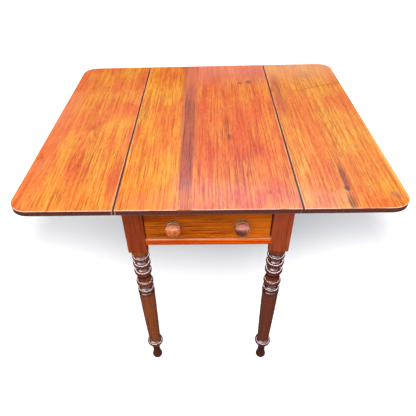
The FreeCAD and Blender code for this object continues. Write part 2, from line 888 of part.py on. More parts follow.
def fly_rail(name, side):
    """The outer rail of one side: a fixed front length, the swinging bracket and a fixed rear length."""
    barrel = size("fly_rail_thickness") / 2 - size("knuckle_play")
    hollow = barrel + size("knuckle_hollow")
    half = size("fly_rail_thickness") / 2
    end_play = size("knuckle_end_play")
    pin_start = (across(side, fly_middle), ZERO, rail_bottom)
    pin_length = size("rail_height")
    reach = size("bracket_length")

    def across_rail(offset):
        return across(side, fly_middle + offset)

    node = f"{name}_fly_rail_front"
    plan = [
        (across_rail(-half), ZERO),
        (across_rail(ZERO), ZERO),
        (across_rail(half), -half),
        (across_rail(half), -leg_back),
        (across_rail(-half), -leg_back),
    ]
    blank = padded(node + "_blank", "XY_Plane", plan, size("rail_height"))
    place(blank, 0.0, 0.0, rail_bottom)
    fingers = knuckle(node + "_finger", side, RAIL_FINGERS, ZERO, barrel)
    hollows = knuckle(node + "_hollow", side, BRACKET_FINGERS, ZERO, hollow)
    seat = rod(
        node + "_pin_seat",
        size("bracket_pin_radius") + size("pin_seat_clearance"),
        pin_start,
        pin_length,
    )
    whole = join(node + "_whole", blank, *fingers)
    screws = fly_screw_set(node + "_hole", side)
    keep(node, cut(node, whole, seat, *hollows, *screws))

    node = f"{name}_fly_bracket"
    play = size("knuckle_play")
    top_gap = size("bracket_top_gap")
    plan = [
        (across_rail(-half), ZERO),
        (across_rail(ZERO), play),
        (across_rail(half), half + play),
        (across_rail(half), reach),
        (across_rail(-half), reach),
    ]
    blank = padded(node + "_blank", "XY_Plane", plan, size("rail_height") - top_gap)
    place(blank, 0.0, 0.0, rail_bottom)
    slant = [
        (reach, under_top),
        (reach, rail_bottom),
        (reach - size("bracket_slant"), rail_bottom),
    ]
    slant_cut = padded(node + "_slant", "YZ_Plane", slant, size("fly_rail_thickness"))
    place(slant_cut, mirrored(side, (fly_inside, fly_outside))[0], 0.0, 0.0)
    fingers = knuckle(node + "_finger", side, BRACKET_FINGERS, -end_play, barrel)
    hollows = knuckle(node + "_hollow", side, RAIL_FINGERS, end_play, hollow)
    bore = rod(
        node + "_pin_bore",
        size("bracket_pin_radius") + size("pin_running_clearance"),
        pin_start,
        pin_length,
    )
    whole = join(node + "_whole", blank, *fingers)
    keep(node, cut(node, whole, slant_cut, bore, *hollows))

    node = f"{name}_fly_rail_rear"
    start = reach + size("bracket_end_gap")
    face = [
        (start, under_top),
        (leg_back, under_top),
        (leg_back, rail_bottom),
        (start - size("bracket_slant"), rail_bottom),
    ]
    blank = padded(node + "_blank", "YZ_Plane", face, size("fly_rail_thickness"))
    place(blank, mirrored(side, (fly_inside, fly_outside))[0], 0.0, 0.0)
    keep(node, cut(node, blank, *fly_screw_set(node + "_hole", side)))

    inset = size("bracket_pin_inset")
    pin = rod(
        f"{name}_bracket_pin",
        size("bracket_pin_radius"),
        (across(side, fly_middle), ZERO, rail_bottom + inset),
        pin_length - inset * 2,
    )
    keep(f"{name}_bracket_pin", pin)


def drawer_carriers(name, side):
    """Runner under a drawer side, guide beside it and kicker over it."""
    narrow = mirrored(side, (leg_inside, side_inside))
    wide = mirrored(side, (side_inside - size("runner_width"), side_inside))
    run = (-leg_back, leg_back)
    keep(f"{name}_runner", slab(f"{name}_runner", wide, run, (rail_bottom, rail_top)))
    guide_top = rail_top + size("guide_height")
    keep(f"{name}_guide", slab(f"{name}_guide", narrow, run, (rail_top, guide_top)))
    node = f"{name}_kicker"
    blank = slab(node + "_blank", wide, run, (kicker_bottom, under_top))
    spots = [spot for spot in top_screw_places() if spot[0].number * side > 0]
    screws = [top_screw(f"{node}_hole_{n}", spot) for n, spot in enumerate(spots)]
    keep(node, cut(node, blank, *screws))


def top_screw(name, spot):
    """A screw up through a kicker into the top, with a countersunk head."""
    head = taper(
        name + "_head",
        size("top_screw_head"),
        size("top_screw_radius"),
        (*spot, kicker_bottom),
        size("top_screw_sink"),
    )
    shank = top_screw_shank(name + "_shank", spot, kicker_bottom, size("top_screw_length"))
    return join(name, head, shank)


def frame_sundries():
    """Drawer stops, glue blocks and the screws of the frame."""
    front = drawer_face + size("drawer_front_thickness") + size("stop_gap")
    stops = []
    for name, side in SIDES:
        outer = leg_inside - size("stop_inset")
        stops.append(
            slab(
                f"drawer_stop_{name}",
                mirrored(side, (outer - size("stop_width"), outer)),
                (front, front + size("stop_depth")),
                (rail_top, rail_top + size("stop_height")),
            )
        )
    keep("drawer_stops", group("drawer_stops", *stops))
    half = size("glue_block_length") / 2
    edge = size("glue_block")
    blocks = []
    for step in (-1, 0, 1):
        middle = (leg_inside - size("glue_block_inset") - half) * step
        face = [
            (back_rail_inside, under_top),
            (back_rail_inside, under_top - edge),
            (back_rail_inside - edge, under_top),
        ]
        block = padded(f"glue_block_{step + 1}", "YZ_Plane", face, size("glue_block_length"))
        place(block, middle - half, 0.0, 0.0)
        blocks.append(block)
    keep("glue_blocks", group("glue_blocks", *blocks))
    screws = [top_screw(f"top_screw_{n}", spot) for n, spot in enumerate(top_screw_places())]
    keep("top_screws", group("top_screws", *screws))
    screws = [
        screw for name, side in SIDES for screw in fly_screw_set(f"{name}_fly_rail_screw", side)
    ]
    keep("fly_rail_screws", group("fly_rail_screws", *screws))


drawer_face = -leg_front + size("drawer_setback")
drawer_left = -leg_inside + size("drawer_gap_left")
drawer_right = leg_inside - size("drawer_gap_right")
drawer_end = drawer_face + size("drawer_length")
front_bottom = rail_top + size("drawer_gap_below")
front_top = kicker_bottom - size("drawer_gap_above")
front_back = drawer_face + size("drawer_front_thickness")
sides_bottom = rail_top + size("drawer_running_gap")
sides_top = front_top - size("drawer_side_drop")
panel_bottom = front_bottom + size("drawer_bottom_height")
panel_top = panel_bottom + size("drawer_bottom_thickness")
box_left = drawer_left + size("drawer_side_thickness")
box_right = drawer_right - size("drawer_side_thickness")
lap_line = drawer_face + size("drawer_lap")
knob_height = (front_bottom + front_top) / 2


def bottom_panel(name):
    groove = size("drawer_groove")
    return slab(
        name,
        (box_left - groove, box_right + groove),
        (front_back - groove, drawer_end),
        (panel_bottom, panel_top),
    )


def knob_places():
    inset = size("knob_inset")
    return (("left", drawer_left + inset), ("right", drawer_right - inset))


def knob_socket(name, x):
    start = (x, drawer_face, knob_height)
    return rod(name, size("knob_tenon_radius"), start, size("knob_tenon_length"), "y")


def drawer():
    blank = slab(
        "drawer_front_blank",
        (drawer_left, drawer_right),
        (drawer_face, front_back),
        (front_bottom, front_top),
    )

    def face_edge(edge):
        return near(edge.BoundBox.YMax, drawer_face.number)

    blank = eased("drawer_front_eased", blank, size("drawer_rail_arris"), face_edge)
    ends = (("left", (drawer_left, box_left)), ("right", (box_right, drawer_right)))
    tall = (front_bottom, front_top)
    laps = [slab(f"drawer_front_{name}_lap", span, (lap_line, front_back), tall) for name, span in ends]
    sockets = [knob_socket(f"drawer_front_{name}_socket", x) for name, x in knob_places()]
    keep("drawer_front", cut("drawer_front", blank, bottom_panel("front_groove"), *laps, *sockets))
    for name, span in ends:
        node = f"drawer_{name}_side"
        side = slab(node + "_blank", span, (lap_line, drawer_end), (sides_bottom, sides_top))
        keep(node, cut(node, side, bottom_panel(node + "_groove")))
    back_top = sides_top - size("drawer_back_drop")
    back = slab(
        "drawer_back",
        (box_left, box_right),
        (drawer_end - size("drawer_side_thickness"), drawer_end),
        (panel_top, back_top),
    )
    keep("drawer_back", back)
    keep("drawer_bottom", bottom_panel("drawer_bottom"))
    for name, x in knob_places():
        keep(f"{name}_knob", knob(f"{name}_knob", x))


def knob(node, x):
    """A turned knob with a tenon, flange, collar, neck and bun-shaped head."""
    tenon = size("knob_tenon_length")
    flange_end = size("knob_flange_length")
    collar_end = flange_end + size("knob_collar_length")
    neck_end = collar_end + size("knob_neck_length")
    rim_end = neck_end + size("knob_rim")
    tip = rim_end + size("knob_dome")
    head = size("knob_radius")
    cap = (head * 0.72, rim_end + size("knob_dome") * 0.69)
    points = [
        (ZERO, -tenon),
        (size("knob_tenon_radius"), -tenon),
        (size("knob_tenon_radius"), ZERO),
        (size("knob_flange_radius"), ZERO),
        (size("knob_flange_radius"), flange_end),
        (size("knob_collar_radius"), flange_end),
        (size("knob_collar_radius"), collar_end),
        (size("knob_neck_radius"), collar_end),
        (size("knob_neck_radius"), neck_end),
        (head, rim_end),
        cap,
        (ZERO, tip),
    ]
    flange_round = flange_end / 2 * 1.05
    collar_round = size("knob_collar_length") / 2 * 1.05
    underside = swell_radius(points[8], points[9], size("knob_rim") * 0.4)
    shoulder = swell_radius(points[9], cap, size("knob_dome") * 0.115)
    rise = tip - cap[1]
    crown = (cap[0] * cap[0] + rise * rise) / (2 * rise)
    arcs = {
        3: (flange_round, -1),
        5: (collar_round, -1),
        8: (underside, -1),
        9: (shoulder, -1),
        10: (crown, -1),
    }
    body = turned(node, points, arcs)
    body.Placement = FreeCAD.Placement(
        FreeCAD.Vector(), FreeCAD.Rotation(FreeCAD.Vector(1, 0, 0), 90)
    )
    place(body, x, drawer_face, knob_height)
    return body


top_boards()
legs()
end_rails()
frame_sundries()
drawer()
for side_word, side_sign in SIDES:
    leaf(side_word, side_sign)
    hinges(side_word, side_sign)
    side_rails(side_word, side_sign)
    fly_rail(side_word, side_sign)
    drawer_carriers(side_word, side_sign)
doc.recompute()

for thing in doc.Objects:
    if "Invalid" in thing.State or "Error" in thing.State:
        raise RuntimeError(f"{thing.Name} failed: {thing.State}")
for node, thing in pieces.items():
    shape = thing.Shape
    if shape.isNull() or not shape.isValid() or not shape.Solids:
        raise RuntimeError(f"{node} has no sound shape")

os.makedirs("parts", exist_ok=True)
for node, thing in pieces.items():
    thing.Shape.exportStep(f"parts/{node}.step")
print(len(pieces), "sub-parts written")
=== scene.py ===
import math

import bmesh
import bpy
from bpy.props import FloatProperty, FloatVectorProperty, PointerProperty
from mathutils import Matrix, Vector


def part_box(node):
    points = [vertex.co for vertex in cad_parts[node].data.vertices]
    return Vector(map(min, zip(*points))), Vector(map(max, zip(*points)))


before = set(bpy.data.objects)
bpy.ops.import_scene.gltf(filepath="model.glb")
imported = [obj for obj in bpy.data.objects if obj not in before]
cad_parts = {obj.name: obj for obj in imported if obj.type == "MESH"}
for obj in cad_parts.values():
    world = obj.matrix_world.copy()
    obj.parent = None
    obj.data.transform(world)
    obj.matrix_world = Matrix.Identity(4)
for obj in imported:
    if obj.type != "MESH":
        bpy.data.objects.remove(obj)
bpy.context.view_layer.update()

bl_info = {
    "name": "Pembroke Table Finishes",
    "version": (1, 0, 0),
    "blender": (4, 5, 0),
    "location": "View3D > Sidebar > Pembroke Table",
    "description": "Finishes a pembroke table in varnished wood and sets it on a pale studio floor",
    "category": "Object",
}

SIDES = ("left", "right")


def paint(red, green, blue):
    """Turns a colour as a screen shows it, 0 to 255, into the linear colour that light is worked out with."""
    def linear(level):
        level = level / 255
        return level / 12.92 if level <= 0.04045 else ((level + 0.055) / 1.055) ** 2.4

    return (linear(red), linear(green), linear(blue))


def colour(name, description, default):
    return FloatVectorProperty(
        name=name, description=description, default=default, subtype="COLOR", size=3, min=0, max=1
    )


def power(name, description, default):
    return FloatProperty(name=name, description=description, default=default, unit="POWER")


class PembrokeWood(bpy.types.PropertyGroup):
    """Colours of the woods and metals."""

    left_leaf_pale: colour("Left leaf, pale", "Early wood of the left leaf", paint(254, 172, 58))
    left_leaf_warm: colour("Left leaf, warm", "Main tone of the left leaf", paint(247, 121, 58))
    left_leaf_dark: colour("Left leaf, dark", "Late wood of the left leaf", paint(212, 82, 20))
    left_board_pale: colour("Left board, pale", "Early wood of the left top board", paint(254, 176, 48))
    left_board_warm: colour("Left board, warm", "Main tone of the left top board", paint(249, 133, 44))
    left_board_dark: colour("Left board, dark", "Late wood of the left top board", paint(212, 84, 14))
    strip_tone: colour("Strip", "Narrow darker strip in the top", paint(202, 99, 62))
    right_board_pale: colour("Right board, pale", "Early wood of the right top board", paint(253, 152, 52))
    right_board_warm: colour("Right board, warm", "Main tone of the right top board", paint(240, 106, 46))
    right_board_dark: colour("Right board, dark", "Late wood of the right top board", paint(200, 66, 22))
    right_leaf_pale: colour("Right leaf, pale", "Early wood of the right leaf", paint(253, 176, 60))
    right_leaf_warm: colour("Right leaf, warm", "Main tone of the right leaf", paint(247, 128, 50))
    right_leaf_dark: colour("Right leaf, dark", "Late wood of the right leaf", paint(206, 82, 22))
    # The dark of the board edges is partly their worn tone and partly painted shade.
    edge_tone_and_shade: colour("Board edges", "Worn dark edges of the top and leaves", paint(98, 54, 46))
    underside_tone: colour("Underside", "Unvarnished underside of the top", paint(150, 104, 66))
    left_block: colour("Left legs, block", "Square part of the left legs", paint(150, 64, 31))
    right_block: colour("Right legs, block", "Square part of the right legs", paint(164, 74, 42))
    leg_dark: colour("Legs, dark", "Late wood of the legs", paint(96, 34, 15))
    left_shaft: colour("Left legs, turned", "Turned part of the left legs", paint(152, 82, 42))
    right_shaft: colour("Right legs, turned", "Turned part of the right legs", paint(120, 62, 44))
    rail_pale: colour("Rails, pale", "Early wood of the rails", paint(250, 108, 20))
    rail_dark: colour("Rails, dark", "Late wood of the rails", paint(186, 60, 10))
    drawer_pale: colour("Drawer, pale", "Early wood of the drawer front", paint(206, 102, 18))
    drawer_dark: colour("Drawer, dark", "Late wood of the drawer front", paint(132, 56, 9))
    knob_pale: colour("Knobs, pale", "Flanges and collars of the knobs", paint(255, 196, 130))
    left_head: colour("Left knob, head", "Bun-shaped head of the left knob", paint(255, 144, 72))
    right_head: colour("Right knob, head", "Bun-shaped head of the right knob", paint(224, 136, 104))
    knob_dark: colour("Knobs, dark", "Late wood of the knobs", paint(96, 44, 28))
    inner_pale: colour("Inner timber, pale", "Early wood of the hidden timber", paint(206, 168, 118))
    inner_dark: colour("Inner timber, dark", "Late wood of the hidden timber", paint(150, 108, 66))
    iron_tone: colour("Iron", "Hinges and bracket pins", paint(66, 58, 52))
    rust_tone: colour("Rust", "Rust in the hollows of the iron", paint(112, 66, 40))
    steel_tone: colour("Screws", "Screw heads", paint(134, 130, 124))
    grain_width: FloatProperty(
        name="Ring width", description="Width of one year's growth in the top", default=0.0034, unit="LENGTH"
    )
    gloss: FloatProperty(
        name="Varnish roughness", description="Roughness of the varnish", default=0.24, subtype="FACTOR"
    )


class PembrokeStage(bpy.types.PropertyGroup):
    """Camera, floor and lights."""

    lens: FloatProperty(name="Lens", description="Focal length", default=34.5, unit="CAMERA")
    floor_size: FloatProperty(name="Floor", description="Side of the floor", default=40.0, unit="LENGTH")
    floor_tone: colour("Floor", "Pale studio floor", (0.58, 0.57, 0.54))
    sky_strength: FloatProperty(name="Sky", description="Strength of the all-round light", default=0.02)
    ceiling_power: power("Ceiling", "Power of the light above", 160.0)
    window_power: power("Windows", "Power of each low light around", 72.0)
    key_strength: FloatProperty(name="Key light", description="Strength of the key light", default=0.8)
    fill_strength: FloatProperty(name="Fill light", description="Strength of the fill light", default=1.64)
    panel_power: power("Back panel", "Power of the panel behind", 20.0)
    back_power: power("Back light", "Power of the light behind", 26.0)


class Shade:
    """A value in a finish. Sums, products and powers of shades add the Math nodes that work them out."""

    def __init__(self, finish, socket):
        self.finish = finish
        self.socket = socket

    def __add__(self, other):
        return self.finish.maths("ADD", self, other)

    __radd__ = __add__

    def __sub__(self, other):
        return self.finish.maths("SUBTRACT", self, other)

    def __rsub__(self, other):
        return self.finish.maths("SUBTRACT", other, self)

    def __mul__(self, other):
        return self.finish.maths("MULTIPLY", self, other)

    __rmul__ = __mul__

    def __truediv__(self, other):
        return self.finish.maths("DIVIDE", self, other)

    def __rtruediv__(self, other):
        return self.finish.maths("DIVIDE", other, self)

    def __pow__(self, other):
        return self.finish.maths("POWER", self, other)

    def __rpow__(self, other):
        return self.finish.maths("POWER", other, self)

    def __abs__(self):
        return self.finish.maths("ABSOLUTE", self)


# Sockets of the Mix node that a mix of two colours uses.
MIX_SHARE, MIX_FIRST, MIX_SECOND, MIX_RESULT = 0, 6, 7, 2


class Finish:
    """One material, built from nodes."""

    def __init__(self, name):
        self.material = bpy.data.materials.new(name)
        self.material.use_nodes = True
        self.tree = self.material.node_tree
        self.tree.nodes.clear()
        self.place = self.add("ShaderNodeTexCoord", output="Object")
        self.x, self.y, self.z = (
            self.add("ShaderNodeSeparateXYZ", sockets={"Vector": self.place}, output=axis) for axis in "XYZ"
        )

    def add(self, kind, settings=None, sockets=None, output=0):
        """Adds a node, sets it up and fills its sockets with values or links.

        Gives back one of its outputs, or nothing for a node that has none.
        """
        node = self.tree.nodes.new(kind)
        for setting, value in (settings or {}).items():
            setattr(node, setting, value)
        for socket, value in (sockets or {}).items():
            if isinstance(value, Shade):
                self.tree.links.new(value.socket, node.inputs[socket])
            else:
                node.inputs[socket].default_value = value
        return Shade(self, node.outputs[output]) if node.outputs else None

    def maths(self, operation, first, second=0.0):
        return self.add("ShaderNodeMath", {"operation": operation}, {0: first, 1: second})

    def smooth(self, value, start, full):
        """Goes from 0 at start to 1 at full, with soft ends."""
        return self.add(
            "ShaderNodeMapRange",
            {"interpolation_type": "SMOOTHSTEP"},
            {"Value": value, "From Min": start, "From Max": full},
        )

    def from_level(self, level, start, full):
        """Goes from 0 to 1 between two heights, both given from one level."""
        return self.smooth(self.z, level + start, level + full)

    def noise(self, where, detail=2.0, roughness=0.5):
        return self.add(
            "ShaderNodeTexNoise",
            {"noise_dimensions": "3D"},
            {"Vector": where, "Scale": 1.0, "Detail": detail, "Roughness": roughness, "Distortion": 0.0},
        )

    def specks(self, scale, detail=2.0):
        """Noise that is as fine one way as another."""
        where = self.add("ShaderNodeVectorMath", {"operation": "SCALE"}, {0: self.place, "Scale": scale})
        return self.noise(where, detail)

    def blend(self, share, first, second):
        """Mixes two colours by share."""
        first, second = (tone if isinstance(tone, Shade) else (*tone, 1.0) for tone in (first, second))
        return self.add(
            "ShaderNodeMix",
            {"data_type": "RGBA", "blend_type": "MIX"},
            {MIX_SHARE: share, MIX_FIRST: first, MIX_SECOND: second},
            output=MIX_RESULT,
        )

    def bump(self, height, depth):
        return self.add("ShaderNodeBump", sockets={"Height": height, "Strength": 1.0, "Distance": depth})

    def surface(self, sockets):
        """Ends the finish in one surface, and gives back the material."""
        shader = self.add("ShaderNodeBsdfPrincipled", sockets=sockets)
        self.add("ShaderNodeOutputMaterial", sockets={"Surface": shader})
        return self.material


# Fields of noise in the wood: fineness across and along the grain, detail and roughness.
PATCH = (11.0, 5.0, 3.0, 0.55)
CLUSTER = (19.0, 9.0, 3.0, 0.6)
STREAK = (110.0, 3.0, 3.0, 0.65)
FIBRE = (300.0, 5.0, 3.0, 0.7)
TICK = (300.0, 24.0, 3.0, 0.6)
PORE = (360.0, 56.0, 2.0, 0.6)
SMOKE = (60.0, 9.0, 3.0, 0.5)
SLOW_SWAY = (5.0, 1.3, 2.0, 0.5)
QUICK_SWAY = (24.0, 3.6, 2.0, 0.5)
RING_JITTER = (46.0, 2.0, 2.0, 0.5)

# Level that every field of noise swings about.
MIDDLE = 0.5

# How far the growth rings sway, slowly and quickly, how much of that shows in depth, and their jitter in rings.
SLOW_REACH = 0.04
QUICK_REACH = 0.008
DEPTH_SHARE = 0.4
JITTER_REACH = 0.9

# Where the edge of a mark starts and where the mark is full, in shares of its size.
MARK_EDGE = (1.0, 0.35)

# Depth of the open grain under the varnish, and fineness of the varnish's own unevenness.
GRAIN_DEPTH = 0.00012
SKIN = 60.0

# Shade of the ticks of open grain against the dark tone of the wood.
TICK_SHADE = 0.6


class Timber(Finish):
    """A sawn and varnished piece of wood. Its grain runs along one axis of the table.

    pith is where the growth rings have their middle in the other two axes, and lean is the pith's slant.
    """

    def __init__(self, name, along, ring_width, pith, lean, seed):
        super().__init__(name)
        self.u, self.v, self.w = {
            "X": (self.y, self.z, self.x),
            "Y": (self.x, self.z, self.y),
            "Z": (self.x, self.y, self.z),
        }[along]
        self.seed = seed
        self.patch = self.across(PATCH)
        self.cluster = self.across(CLUSTER)
        self.streak = self.across(STREAK)
        self.fibre = self.across(FIBRE)
        self.tick = self.smooth(self.across(TICK), 0.54, 0.64)
        self.pore = self.across(PORE)
        self.late_wood = self.rings(pith, lean, ring_width)

    def across(self, field):
        """Noise that is stretched along the grain."""
        scale, along_scale, detail, roughness = field
        where = self.add(
            "ShaderNodeCombineXYZ",
            sockets={
                "X": self.u * scale + self.seed,
                "Y": self.v * scale,
                "Z": self.w * along_scale + self.seed,
            },
        )
        return self.noise(where, detail, roughness)

    def rings(self, pith, lean, ring_width):
        """The dark late wood of the growth rings."""
        slow = self.across(SLOW_SWAY) - MIDDLE
        quick = self.across(QUICK_SWAY) - MIDDLE
        sway = slow * SLOW_REACH + quick * QUICK_REACH
        side = self.u + sway - pith[0]
        depth = self.v + sway * DEPTH_SHARE - pith[1] + self.w * lean
        reach = (side * side + depth * depth) ** 0.5
        turn = reach / ring_width + (self.across(RING_JITTER) - MIDDLE) * JITTER_REACH
        part = self.maths("FRACT", turn)
        return self.smooth(part, 0.3, 0.9) * self.smooth(part, 1.0, 0.92)

    def tones(self, pale, dark, warm=None, contrast=1.0):
        """Colour of the wood. warm is its main tone where that isn't the pale one."""
        face = self.blend(self.smooth(self.patch, 0.38, 0.62), warm or pale, pale)
        open_grain = self.tick * (0.1 + self.smooth(self.cluster, 0.5, 0.62) * 0.5)
        # Share and tone of each layer, from the first that is laid on to the last.
        layers = (
            (self.smooth(self.streak, 0.5, 0.66) * 0.42, dark),
            (self.smooth(self.streak, 0.48, 0.32) * 0.65, pale),
            (self.late_wood * self.smooth(self.cluster, 0.4, 0.6) * 0.2, dark),
            (self.smooth(self.fibre, 0.47, 0.62) * 0.8, dark),
            (self.smooth(self.pore, 0.52, 0.66) * 0.35, dark),
            (self.smooth(self.pore, 0.46, 0.32) * 0.3, pale),
            (open_grain, tuple(level * TICK_SHADE for level in dark)),
        )
        for share, layer in layers:
            face = self.blend(share * contrast, face, layer)
        return face

    def spots(self, *places):
        """Soft marks in the plan of the table. A place is x, y, half width, half length and raggedness."""
        shake = (self.cluster - MIDDLE) + (self.fibre - MIDDLE) * 0.8
        marks = []
        for x, y, wide, long, ragged in places:
            dx = (self.x - x) / wide
            dy = (self.y - y) / long
            marks.append(self.smooth((dx * dx + dy * dy) ** 0.5 + shake * ragged, *MARK_EDGE))
        return sum(marks)

    def stain(self, face, stain_tone, *places, even=0.0, lined=0.0, ringed=0.0):
        """Stains a face at places in the plan of the table.

        even, lined and ringed are how strong the stain is all over, in the lines of the grain and in the rings.
        """
        lines = self.smooth(self.fibre, 0.44, 0.58) * 0.6 + self.tick * 0.6
        share = self.spots(*places) * (lines * lined + self.late_wood * ringed + even)
        return self.blend(share, face, stain_tone)

    def varnish(self, face, gloss, shine=0.14, bend=1.7, glint=0.3, haze=0.06):
        """Varnish sunk a little into the grain.

        gloss is its roughness and glint its strength. Over it lies a clear coat: shine is the coat's weight,
        bend its index of refraction and haze its roughness.
        """
        height = self.fibre * 0.7 - self.tick * 0.6 + self.specks(SKIN) * 0.5
        return self.surface({
            "Base Color": face,
            "Roughness": gloss + (self.cluster - MIDDLE) * 0.16 + self.tick * 0.1,
            "Normal": self.bump(height, GRAIN_DEPTH),
            "Specular IOR Level": glint,
            "Coat Weight": shine,
            "Coat Roughness": haze,
            "Coat IOR": bend,
        })


def dress(material, *names):
    """Gives CAD pieces one finish."""
    for name in names:
        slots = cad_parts[name].data.materials
        slots.clear()
        slots.append(material)


def wood():
    return bpy.context.scene.pembroke_wood


def tone(name):
    return tuple(getattr(wood(), name))


def both_sides(*pieces):
    """Names of the left and right of each piece."""
    return [f"{side}_{piece}" for side in SIDES for piece in pieces]


# Distance of each rule joint from the middle of the table.
JOINT_LINE = 0.231

# Heights from the face of a board between which its pale arris, a painted highlight with some wear, and its dark
# edge, partly painted shade, set in.
ARRIS_HIGHLIGHT = (-0.0001, -0.0004)
DARK_EDGE = (-0.0012, -0.0024)

# Heights from the underside of a board between which its bare wood sets in.
BARE_WOOD = (0.0012, 0.0004)

# Distances from a rule joint: the middle of the pale line, a painted highlight with some wear, its fading half
# width, and the dark crack.
RUBBED_HIGHLIGHT_LINE = 0.0044
RUBBED_HIGHLIGHT_HALF = (0.0016, 0.0004)
JOINT_DARK = (0.0034, 0.002)

# Tones of the wear, the painted highlights and the dirt on the boards.
HIGHLIGHT_AND_WEAR = paint(255, 214, 184)
EDGE_FIBRE = paint(66, 36, 32)
JOINT_DIRT = paint(74, 50, 42)
BARE_FIBRE = paint(112, 74, 46)

# Contrast of the grain in the boards.
BOARD_CONTRAST = 1.25


def board(name, tones, marks, pith, lean, seed):
    """Finish of one board of the top: polished above, dark at its edges, plain underneath."""
    low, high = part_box(name)
    timber = Timber(name + "_finish", "Y", wood().grain_width, pith, lean, seed)
    face = timber.tones(tone(tones + "_pale"), tone(tones + "_dark"), tone(tones + "_warm"), BOARD_CONTRAST)
    face = marks(timber, face)
    # The pale line along the arris is a painted highlight, with some wear.
    arris_highlight = timber.from_level(high[2], *ARRIS_HIGHLIGHT) * timber.smooth(timber.cluster, 0.3, 0.5)
    face = timber.blend(arris_highlight * 0.8, face, HIGHLIGHT_AND_WEAR)
    # The dark edge of the board is partly its worn tone and partly painted shade.
    edge = timber.blend(timber.smooth(timber.fibre, 0.35, 0.7) * 0.6, tone("edge_tone_and_shade"), EDGE_FIBRE)
    face = timber.blend(timber.from_level(high[2], *DARK_EDGE), face, edge)
    from_joint = abs(abs(timber.x) - JOINT_LINE)
    # The pale lines beside the rule joints are a painted highlight, with some wear.
    rubbed_highlight = timber.smooth(abs(from_joint - RUBBED_HIGHLIGHT_LINE), *RUBBED_HIGHLIGHT_HALF)
    rubbed_highlight = rubbed_highlight * timber.smooth(timber.cluster, 0.4, 0.55)
    face = timber.blend(rubbed_highlight * 0.4, face, HIGHLIGHT_AND_WEAR)
    face = timber.blend(timber.smooth(from_joint, *JOINT_DARK) * 0.85, face, JOINT_DIRT)
    bare = timber.blend(timber.fibre, tone("underside_tone"), BARE_FIBRE)
    face = timber.blend(timber.from_level(low[2], *BARE_WOOD), face, bare)
    dress(timber.varnish(face, wood().gloss), name)


def left_leaf_marks(timber, face):
    figure = (-0.376, -0.15, 0.05, 0.26, 1.2)
    face = timber.stain(face, paint(170, 70, 30), figure, ringed=0.3)
    near_corner = (-0.388, -0.412, 0.02, 0.04, 1.0)
    near_middle = (-0.356, -0.03, 0.02, 0.06, 1.0)
    between = (-0.33, -0.25, 0.05, 0.16, 1.4)
    face = timber.stain(face, paint(160, 62, 26), near_corner, near_middle, between, lined=0.6)
    by_joint = (-0.247, -0.33, 0.022, 0.16, 1.0)
    face = timber.stain(face, paint(206, 84, 50), by_joint, even=0.5)
    # A painted sheen, pinkish, along the outer edge of the leaf.
    outer_sheen = timber.smooth(timber.x, -0.41, -0.498) * timber.smooth(timber.patch, 0.35, 0.6)
    return timber.blend(outer_sheen * 0.6, face, paint(240, 116, 84))


def left_board_marks(timber, face):
    by_joint = (-0.212, 0.03, 0.024, 0.12, 1.0)
    near_front = (-0.18, -0.3, 0.022, 0.08, 1.0)
    face = timber.stain(face, paint(150, 62, 28), by_joint, near_front, lined=0.8)
    faded = (-0.15, -0.46, 0.1, 0.09, 1.0)
    face = timber.stain(face, paint(240, 124, 72), faded, even=0.45)
    taper = timber.x + (timber.y + 0.35) * 0.016
    by_strip = timber.smooth(taper, -0.083, -0.073) * (timber.smooth(timber.y, -0.37, -0.3) * 0.5 + 0.4)
    by_strip = by_strip * (timber.smooth(timber.fibre, 0.35, 0.6) * 0.4 + 0.6)
    return timber.blend(by_strip, face, tone("strip_tone"))


def right_board_marks(timber, face):
    large_spot = (0.157, 0.302, 0.014, 0.024, 0.8)
    small_spot = (0.126, 0.293, 0.012, 0.018, 0.8)
    face = timber.stain(face, paint(110, 56, 44), large_spot, small_spot, even=0.8)
    streak = (0.064, -0.06, 0.009, 0.12, 0.8)
    streak_end = (0.07, -0.125, 0.013, 0.028, 0.8)
    face = timber.stain(face, paint(130, 56, 36), streak, streak_end, even=0.3, lined=0.6)
    curls = (-0.01, -0.08, 0.03, 0.08, 1.0)
    face = timber.stain(face, tone("right_board_dark"), curls, ringed=0.5)
    near_front = (0.1, -0.3, 0.04, 0.14, 1.4)
    back_left = (0.03, 0.36, 0.04, 0.1, 1.4)
    back_right = (0.19, 0.36, 0.05, 0.12, 1.4)
    face = timber.stain(face, paint(140, 58, 40), near_front, back_left, back_right, lined=0.8)
    # A painted sheen, paler and pinker towards the back of the board.
    face = timber.blend(timber.smooth(timber.y, 0.2, 0.46) * 0.45, face, paint(255, 160, 134))
    by_strip = timber.smooth(timber.x, -0.018, -0.04) * timber.smooth(timber.y, -0.4, -0.2)
    by_strip = by_strip * (timber.smooth(timber.fibre, 0.4, 0.6) * 0.5 + 0.25)
    return timber.blend(by_strip, face, tone("strip_tone"))


# Where the fine crack in the right leaf passes, its slope, how far it wavers, and its fading half width.
CRACK_X, CRACK_Y = 0.339, 0.22
CRACK_SLOPE = 0.41
CRACK_WAVER = 0.012
CRACK_HALF = (0.004, 0.001)


